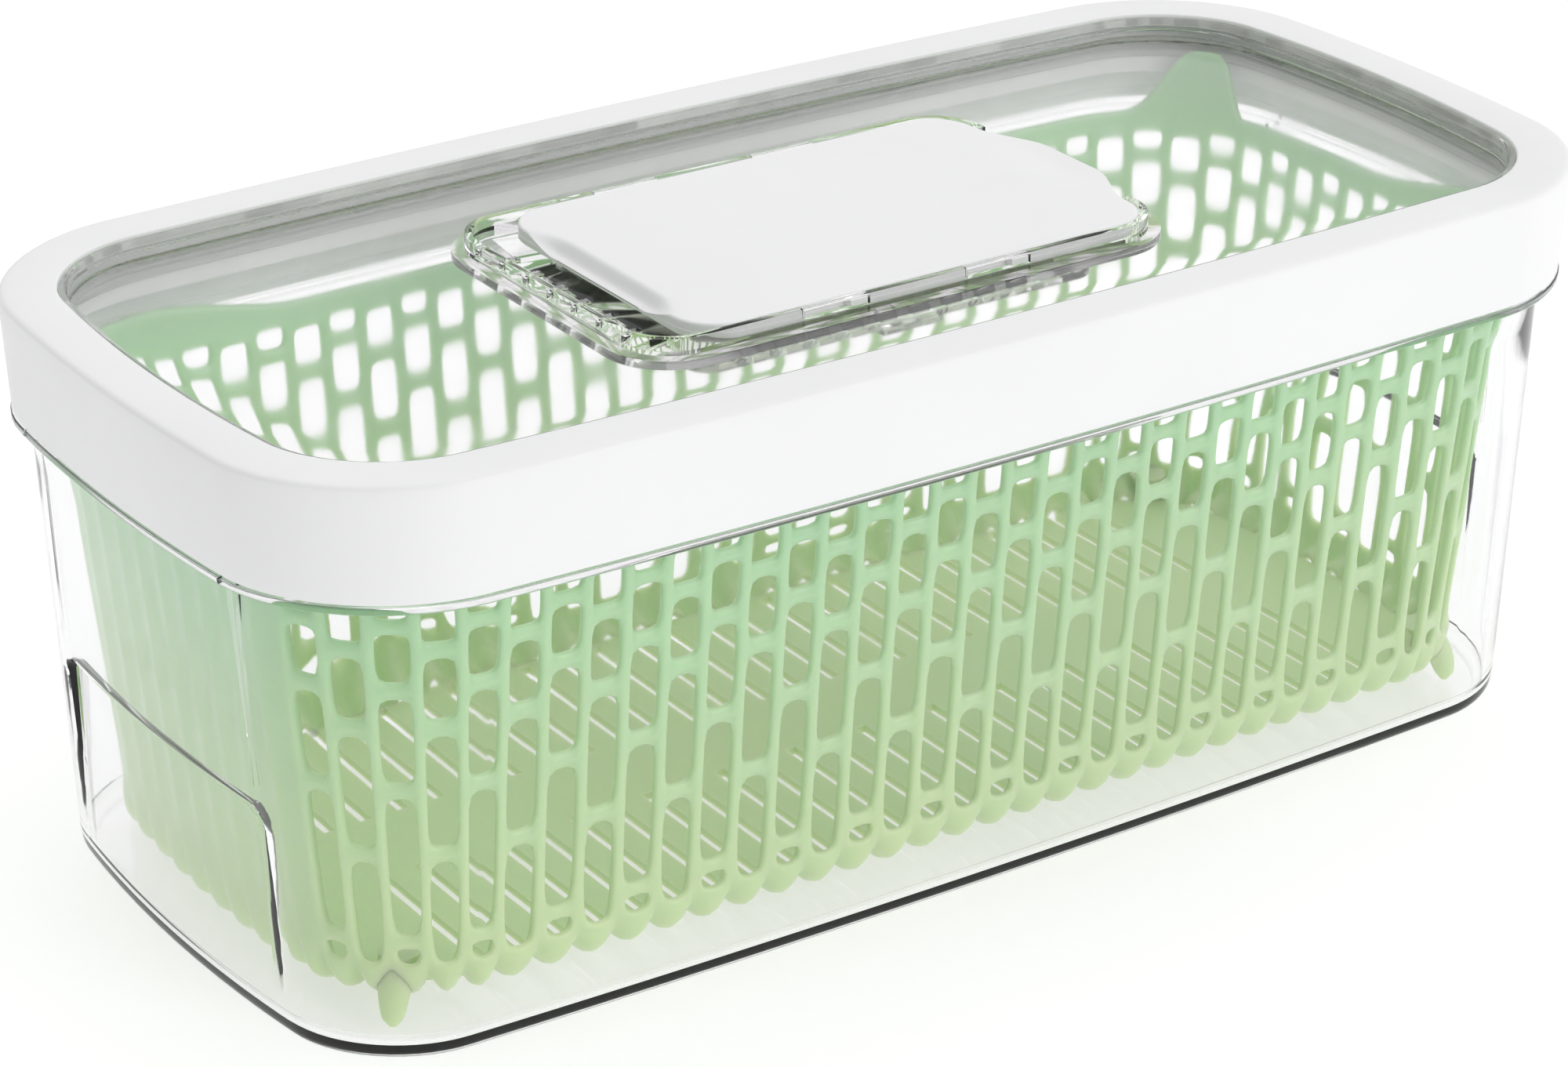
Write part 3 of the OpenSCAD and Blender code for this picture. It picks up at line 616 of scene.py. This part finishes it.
    realize = tree.nodes.new("GeometryNodeRealizeInstances")
    dress = tree.nodes.new("GeometryNodeSetMaterial")
    tree.links.new(slots.outputs[0], realize.inputs[0])
    tree.links.new(realize.outputs[0], dress.inputs["Geometry"])
    tree.links.new(entry["Material"], dress.inputs["Material"])
    tree.links.new(dress.outputs[0], leave.inputs[0])
    return tree


def setTreeInputs(modifier, values):
    for item in modifier.node_group.interface.items_tree:
        if item.item_type == "SOCKET" and item.in_out == "INPUT" and item.name in values:
            modifier[item.identifier] = values[item.name]


def buildBasketWall():
    piece = basketSheet()
    slots = piece.modifiers.new("slots", "NODES")
    slots.node_group = slottedWallTree()
    setTreeInputs(slots, {"Slot Share": basket["slotShare"], "Lobe Depth": basket["lobe"],
                          "Lobe Top": basket["lobeTop"], "Saddle Depth": basket["saddle"],
                          "Foot Lift": basket["lift"], "Material": greenBasket})
    thick = piece.modifiers.new("wall", "SOLIDIFY")
    thick.thickness = basket["wall"]
    thick.offset = -1
    rounding = piece.modifiers.new("rounding", "SUBSURF")
    rounding.levels = rounding.render_levels = 1
    return bakeModifiers(piece)


basketWall = finishPiece(buildBasketWall(), greenBasket, "basket", "green_basket", "basket_wall")

feet = {"tip": 1.7 * mm, "root": 4.6 * mm, "lean": 5 * mm, "steps": 9, "sides": 20,
        "x": 146 * mm, "y": 57.5 * mm, "foot": 2.7 * mm, "top": 17 * mm}


def buildFeet():
    vertices, faces = [], []
    for sx, sy in ((1, 1), (-1, 1), (-1, -1), (1, -1)):
        start = len(vertices)
        for i in range(feet["steps"] + 1):
            t = i / feet["steps"]
            height = blendValue(feet["foot"], feet["top"], t)
            radius = blendValue(feet["tip"], feet["root"], t ** 0.7)
            if i == 0:
                radius *= 0.55
            shift = -feet["lean"] * t * t
            for k in range(feet["sides"]):
                a = 2 * math.pi * k / feet["sides"]
                vertices.append(Vector((sx * (feet["x"] + shift) + radius * math.cos(a),
                                        sy * (feet["y"] + shift) + radius * math.sin(a),
                                        height + (0.25 * mm if i == 1 else 0))))
        n = feet["sides"]
        for i in range(feet["steps"]):
            faces += [(start + i * n + k, start + i * n + (k + 1) % n,
                       start + (i + 1) * n + (k + 1) % n, start + (i + 1) * n + k) for k in range(n)]
        faces.append(tuple(start + k for k in range(n - 1, -1, -1)))
        faces.append(tuple(start + feet["steps"] * n + k for k in range(n)))
    return newPiece("basketFeet", vertices, faces, 50)


finishPiece(buildFeet(), greenBasket, "basket", "green_basket")
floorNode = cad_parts["basket_floor"]
floorNode.data.materials.clear()
floorNode.data.materials.append(greenBasket)
print("basket built:", len(basketWall.data.polygons), "faces")

lid = {
    "frame": 12.1 * mm, "edge": 1.8 * mm, "skirt": 2.0 * mm, "skirtDraft": 1.2 * mm,
    "upstand": 1.8 * mm, "upstandTop": lidTop - 0.7 * mm, "foot": 2.4 * mm,
    "plugInset": 8.25 * mm, "plugWall": 1.7 * mm, "paneTop": 14 * mm, "paneUnder": 12 * mm,
    "sealFoot": 4 * mm, "sealHeight": 4 * mm, "sealLip": 6.35 * mm, "groove": 0.7 * mm,
}
tray = {"halfLength": 69.5 * mm, "halfWidth": 43 * mm, "corner": 13 * mm}


def buildLidFrame():
    profile = [
        (lid["skirtDraft"], skirtFoot, 0.7 * mm),
        (0.0, frameUnder, 0), (0.0, lidTop, lid["edge"]),
        (lid["frame"], lidTop, 0.5 * mm), (lid["frame"], frameUnder, 0.2 * mm),
        (lid["skirt"], frameUnder, 0.5 * mm),
        (lid["skirtDraft"] + lid["skirt"], skirtFoot, 0.7 * mm)]
    return lofted("lidFrame", [lidRing(i, z) for i, z in softened(profile)], True)


def trayRing(height):
    low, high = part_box("vent_tray")
    middle = (low.x + high.x) / 2
    ring = roundedRing(tray["halfLength"], tray["halfWidth"], tray["corner"], height, False)
    for p in ring:
        p.x += middle
    return ring


def buildLidWindow():
    foot, frameIn = lid["frame"] - lid["foot"], lid["frame"]
    plugOut, plugIn = lid["plugInset"], lid["plugInset"] + lid["plugWall"]
    grooveIn = plugOut + lid["groove"]
    sealLow = plugFoot + lid["sealFoot"]
    sealHigh = sealLow + lid["sealHeight"]
    upstandIn = frameIn + lid["upstand"]
    profile = [
        (plugOut, plugFoot, 0.4 * mm), (plugOut, sealLow, 0),
        (grooveIn, sealLow, 0), (grooveIn, sealHigh, 0), (plugOut, sealHigh, 0),
        (plugOut, windowTop, 0.2 * mm), (foot, windowTop, 0), (foot, frameUnder, 0),
        (frameIn, frameUnder, 0), (frameIn, lid["upstandTop"], 0.5 * mm),
        (upstandIn, lid["upstandTop"], 0.7 * mm), (upstandIn, windowTop, 0.9 * mm),
        (frameIn + lid["paneTop"], windowTop, 0)]
    underside = [
        (plugIn + lid["paneUnder"], windowUnder, 0), (plugIn, windowUnder, 0.8 * mm),
        (plugIn, plugFoot, 0.4 * mm), (plugOut, plugFoot, 0)]
    outer = [lidRing(i, z) for i, z in softened(profile, False)]
    hole = [trayRing(windowTop), trayRing(windowUnder)]
    under = [lidRing(i, z) for i, z in softened(underside, False)[:-1]]
    return lofted("lidWindow", outer + hole + under, True, 35)


def buildSeal():
    low = plugFoot + lid["sealFoot"]
    high = low + lid["sealHeight"]
    middle = (low + high) / 2
    lip = lid["sealLip"]
    inner = lid["plugInset"] + lid["groove"]
    profile = [(inner, low, 0), (lid["plugInset"], low, 0.2 * mm), (lip, middle - 0.7 * mm, 0.4 * mm),
               (lip, middle + 0.2 * mm, 0.4 * mm), (lid["plugInset"] - 0.5 * mm, middle + 0.7 * mm, 0.3 * mm),
               (lid["plugInset"], high, 0.2 * mm), (inner, high, 0)]
    return lofted("lidSeal", [lidRing(i, z) for i, z in softened(profile)], True)


finishPiece(buildLidFrame(), whiteParts, "lid", "white_plastic", "lid_frame", "lid_skirt")
finishPiece(buildLidWindow(), clearLid, "lid", "clear_lid", "lid_window", "lid_plug")
finishPiece(buildSeal(), softSeal, "lid", "soft_seal", "lid_seal")
print("lid built")

slideLow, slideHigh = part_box("vent_slide")
slideLip = 6.9 * mm      # how far the finger lip stands out
slide = {
    "left": slideLow.x, "right": slideHigh.x - slideLip,
    "halfWidth": 40.9 * mm, "corner": 10.9 * mm, "foot": slideLow.z + 1.2 * mm,
    "top": slideHigh.z, "edge": 0.7 * mm,
    "lip": slideLip, "lipHalf": 29 * mm, "lipThick": 2.2 * mm,
    "scoopHalf": 33 * mm, "scoopIn": 4.2 * mm, "scoopDepth": 2.9 * mm, "dish": 0.8 * mm,
    "hookLength": 5.2 * mm, "hookAt": (-17.5 * mm, 25.7 * mm), "hookSide": 41.4 * mm,
    "hookReach": 3 * mm, "hookLow": 0.6 * mm, "hookHigh": 2 * mm, "hookTaper": 0.85,
}


def slideRing(inset, height, lipShare):
    halfLength = (slide["right"] - slide["left"]) / 2
    middle = (slide["right"] + slide["left"]) / 2
    corner = max(1.2 * mm, slide["corner"] - inset)
    marks = [slide["halfWidth"] * 0.98 * m * (1 - inset / slide["halfWidth"]) * 0.72
             for m in [k / 12 for k in range(12, -13, -1)]]
    ring = roundedRing(halfLength - inset, slide["halfWidth"] - inset, corner, height, False, marks)
    for p in ring:
        if p.x > halfLength * 0.5:
            reach = (p.x / (halfLength - inset)) ** 6
            p.x += lipShare * reach * slide["lip"] * smoothStep((slide["lipHalf"] - abs(p.y)) / (20 * mm))
        p.x += middle
        # thumb scoop at the left, and a shallow dish before the finger lip
        across = smoothStep((slide["scoopHalf"] - abs(p.y)) / (15 * mm))
        run = slide["left"] + slide["scoopIn"] * across + 0.6 * mm - p.x
        dent = slide["scoopDepth"] * across * smoothStep(run / (2.8 * mm))
        fromDish = ((p.x - slide["right"] - 1 * mm) / (6 * mm)) ** 2 + (p.y / (17 * mm)) ** 2
        dent += slide["dish"] * math.exp(-fromDish)
        p.z = min(p.z, slide["top"] - dent)
    return ring


def buildSlide():
    top, edge = slide["top"], slide["edge"]
    lipLow = top - slide["lipThick"]
    rings = [slideRing(0.4 * mm, slide["foot"], 0), slideRing(0, slide["foot"] + 0.4 * mm, 0),
             slideRing(0, lipLow, 0), slideRing(0.2 * mm, lipLow, 1)]
    rings += [slideRing(edge * (1 - math.cos(a)), top - edge * (1 - math.sin(a)), 1)
              for a in [math.radians(90 * i / 5) for i in range(6)]]
    rings += [slideRing(i * mm, top, 1)
              for i in (1, 1.4, 1.8, 2.2, 2.6, 3, 3.5, 4, 4.6, 5.4, 6.5, 8, 10, 12, 14, 17)]
    body = lofted("ventSlide", rings, False, 50)
    shape = bmesh.new()
    shape.from_mesh(body.data)
    # four clips that run in the tray's windows
    low, high = windowTop + slide["hookLow"], windowTop + slide["hookHigh"]
    for x in slide["hookAt"]:
        for s in (-1, 1):
            made = bmesh.ops.create_cube(shape, size=1)["verts"]
            for v in made:
                length = slide["hookLength"] * (slide["hookTaper"] if v.co.y * s > 0 else 1)
                v.co = Vector((x + v.co.x * length,
                               s * slide["hookSide"] + v.co.y * slide["hookReach"],
                               (low + high) / 2 + v.co.z * (high - low)))
    shape.to_mesh(body.data)
    shape.free()
    return body


edgeEase = {"vent_tray": 0.25 * mm, "filter_box": 0.2 * mm, "filter_lugs": 0.15 * mm,
            "filter_door": 0.2 * mm}


def easedPiece(nodeName, name, body):
    copy = softenedCopy(nodeName, name, edgeEase[nodeName])
    finishPiece(copy, clearLid, body, "clear_lid", nodeName)


easedPiece("vent_tray", "ventTray", "lid")
finishPiece(buildSlide(), whiteParts, "slide", "white_plastic", "vent_slide")
easedPiece("filter_box", "filterBox", "lid")
easedPiece("filter_lugs", "filterLugs", "lid")
easedPiece("filter_door", "filterDoor", "door")

pouch = {"across": 64, "deep": 38, "seam": 4.5 * mm, "sheet": 0.35 * mm, "grainBump": 0.22 * mm,
         "clearance": 0.6 * mm, "pullEnds": 0.018, "pullSides": 0.03, "pucker": 0.12 * mm}


def buildPouch():
    # two sheets of cloth sealed at the edge, full of loose grains
    low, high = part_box("filter_pouch")
    centre = (low + high) / 2
    halfLength, halfWidth, halfHeight = (high - low) / 2
    halfLength, halfWidth = halfLength - pouch["clearance"], halfWidth - pouch["clearance"]
    nx, ny = pouch["across"], pouch["deep"]
    vertices, faces = [], []
    for side in (-1, 1):
        for j in range(ny + 1):
            for i in range(nx + 1):
                u, v = 2 * i / nx - 1, 2 * j / ny - 1
                pull = 1 - pouch["pullEnds"] * (1 - v * v) * abs(u) ** 3
                draw = 1 - pouch["pullSides"] * (1 - u * u) * abs(v) ** 3
                x, y = u * halfLength * pull, v * halfWidth * draw
                fromEdge = min(halfLength * (1 - abs(u)), halfWidth * (1 - abs(v)))
                full = smoothStep((fromEdge - pouch["seam"] * 0.5) / (4 * pouch["seam"])) ** 0.6
                pucker = 0.5 + 0.5 * (math.sin(95 * u + 3 * math.sin(7 * v))
                                      * math.sin(60 * v + 2 * math.sin(9 * u)))
                place = Vector((x, y, side * 0.01))
                grains = noise.noise(place * 420) + 0.5 * noise.noise(place * 900)
                z = pouch["sheet"] + full * (halfHeight - pouch["sheet"] - 0.5 * mm)
                z += full * pouch["grainBump"] * grains - (1 - full) * pouch["pucker"] * pucker
                z = min(z, halfHeight)
                vertices.append(centre + Vector((x, y, side * z)))
    row, layer = nx + 1, (nx + 1) * (ny + 1)
    for j in range(ny):
        for i in range(nx):
            a = j * row + i
            faces.append((a, a + row, a + row + 1, a + 1))
            faces.append((layer + a, layer + a + 1, layer + a + row + 1, layer + a + row))
    rim = list(range(row)) + [j * row + nx for j in range(1, ny + 1)]
    rim += [ny * row + i for i in range(nx - 1, -1, -1)] + [j * row for j in range(ny - 1, 0, -1)]
    faces += [(a, b, layer + b, layer + a) for a, b in zip(rim, rim[1:] + rim[:1])]
    return newPiece("filterPouch", vertices, faces, 0)


filterPouch = finishPiece(buildPouch(), pouchFabric, "door", "pouch_fabric", "filter_pouch")
print("vent and filter built")

stage = {"floor": (0.62, 0.62, 0.62), "floorDeep": (0.6, 0.6, 0.6), "glow": 0.52,
         "world": 0.8, "worldLeft": 0.42, "drop": 0.3 * mm}


def buildStage():
    # a flat floor that curves up far behind
    vertices, faces = [], []
    profile = [(-3.0, 0.0), (3.0, 0.0)] + [(3.0 + 1.5 * math.sin(a), 1.5 * (1 - math.cos(a)))
                                           for a in [math.radians(9 * i) for i in range(1, 11)]] + [(4.5, 4.0)]
    forward = Vector((math.sin(math.radians(34.2)), math.cos(math.radians(34.2)), 0))
    side = Vector((forward.y, -forward.x, 0))
    for d, z in profile:
        for s in (-5.0, 5.0):
            vertices.append(forward * d + side * s + Vector((0, 0, z - stage["drop"])))
    for i in range(len(profile) - 1):
        faces.append((2 * i, 2 * i + 1, 2 * i + 3, 2 * i + 2))
    floor = newPiece("floor", vertices, faces, 0)
    material, tree, shader = startMaterial("floorPaper")
    tree.links.new(tintBetween(tree, surfaceNoise(tree, 3, 2), stage["floor"], stage["floorDeep"]),
                   shader.inputs["Base Color"])
    shader.inputs["Roughness"].default_value = 0.8
    shader.inputs["Specular IOR Level"].default_value = 0.1
    shader.inputs["Emission Color"].default_value = (1, 1, 1, 1)   # a lit table top
    shader.inputs["Emission Strength"].default_value = stage["glow"]
    floor.data.materials.append(material)


def addLamp(name, place, aim, size, power):
    lamp = bpy.data.lights.new(name, "AREA")
    lamp.shape = "RECTANGLE"
    lamp.size, lamp.size_y = size
    lamp.energy = power
    holder = bpy.data.objects.new(name, lamp)
    holder.location = place
    holder.rotation_euler = (Vector(aim) - Vector(place)).to_track_quat("-Z", "Y").to_euler()
    bpy.context.scene.collection.objects.link(holder)


buildStage()
addLamp("overheadSoftbox", (-0.1, 0.5, 1.5), (0, 0, 0.08), (1.6, 1.2), 4.8)
addLamp("frontSoftbox", (0.6, -1.6, 0.9), (0, 0, 0.06), (1.2, 0.9), 8)
addLamp("leftSoftbox", (-1.7, -0.2, 0.8), (0, 0, 0.06), (0.9, 0.9), 0.5)

world = bpy.data.worlds.new("studio")
world.use_nodes = True
world.node_tree.nodes["Background"].inputs["Color"].default_value = (1, 1, 1, 1)
# the studio is a little darker to the left of the box
sky = world.node_tree
facing = sky.nodes.new("ShaderNodeSeparateXYZ")
sky.links.new(sky.nodes.new("ShaderNodeTexCoord").outputs["Generated"], facing.inputs[0])
shade = sky.nodes.new("ShaderNodeMapRange")
shade.inputs["From Min"].default_value = -0.9
shade.inputs["From Max"].default_value = 0.1
shade.inputs["To Min"].default_value = stage["worldLeft"]
shade.inputs["To Max"].default_value = stage["world"]
sky.links.new(facing.outputs["X"], shade.inputs["Value"])
sky.links.new(shade.outputs["Result"], sky.nodes["Background"].inputs["Strength"])
bpy.context.scene.world = world
bpy.context.scene.view_settings.view_transform = "Standard"

view = {"azimuth": -34.20847746717679, "elevation": 24.922671963877765, "roll": 0.16236334,
        "distance": 1.0660713, "target": Vector((-0.0078097, 0, 0.0584123)), "lens": 106.4057}
azimuth, elevation, roll = (math.radians(view[k]) for k in ("azimuth", "elevation", "roll"))
back = Vector((math.sin(azimuth) * math.cos(elevation), -math.cos(azimuth) * math.cos(elevation),
               math.sin(elevation)))
right = (-back).cross(Vector((0, 0, 1))).normalized()
upward = right.cross(-back)
right, upward = (math.cos(roll) * right + math.sin(roll) * upward,
                 -math.sin(roll) * right + math.cos(roll) * upward)
lens = bpy.data.cameras.new("camera")
lens.lens = view["lens"]
lens.sensor_width = 36
lens.clip_end = 50
camera = bpy.data.objects.new("camera", lens)
bpy.context.scene.collection.objects.link(camera)
camera.matrix_world = Matrix((
    (right.x, upward.x, back.x, view["target"].x + back.x * view["distance"]),
    (right.y, upward.y, back.y, view["target"].y + back.y * view["distance"]),
    (right.z, upward.z, back.z, view["target"].z + back.z * view["distance"]),
    (0, 0, 0, 1)))
bpy.context.scene.camera = camera
print("stage set")
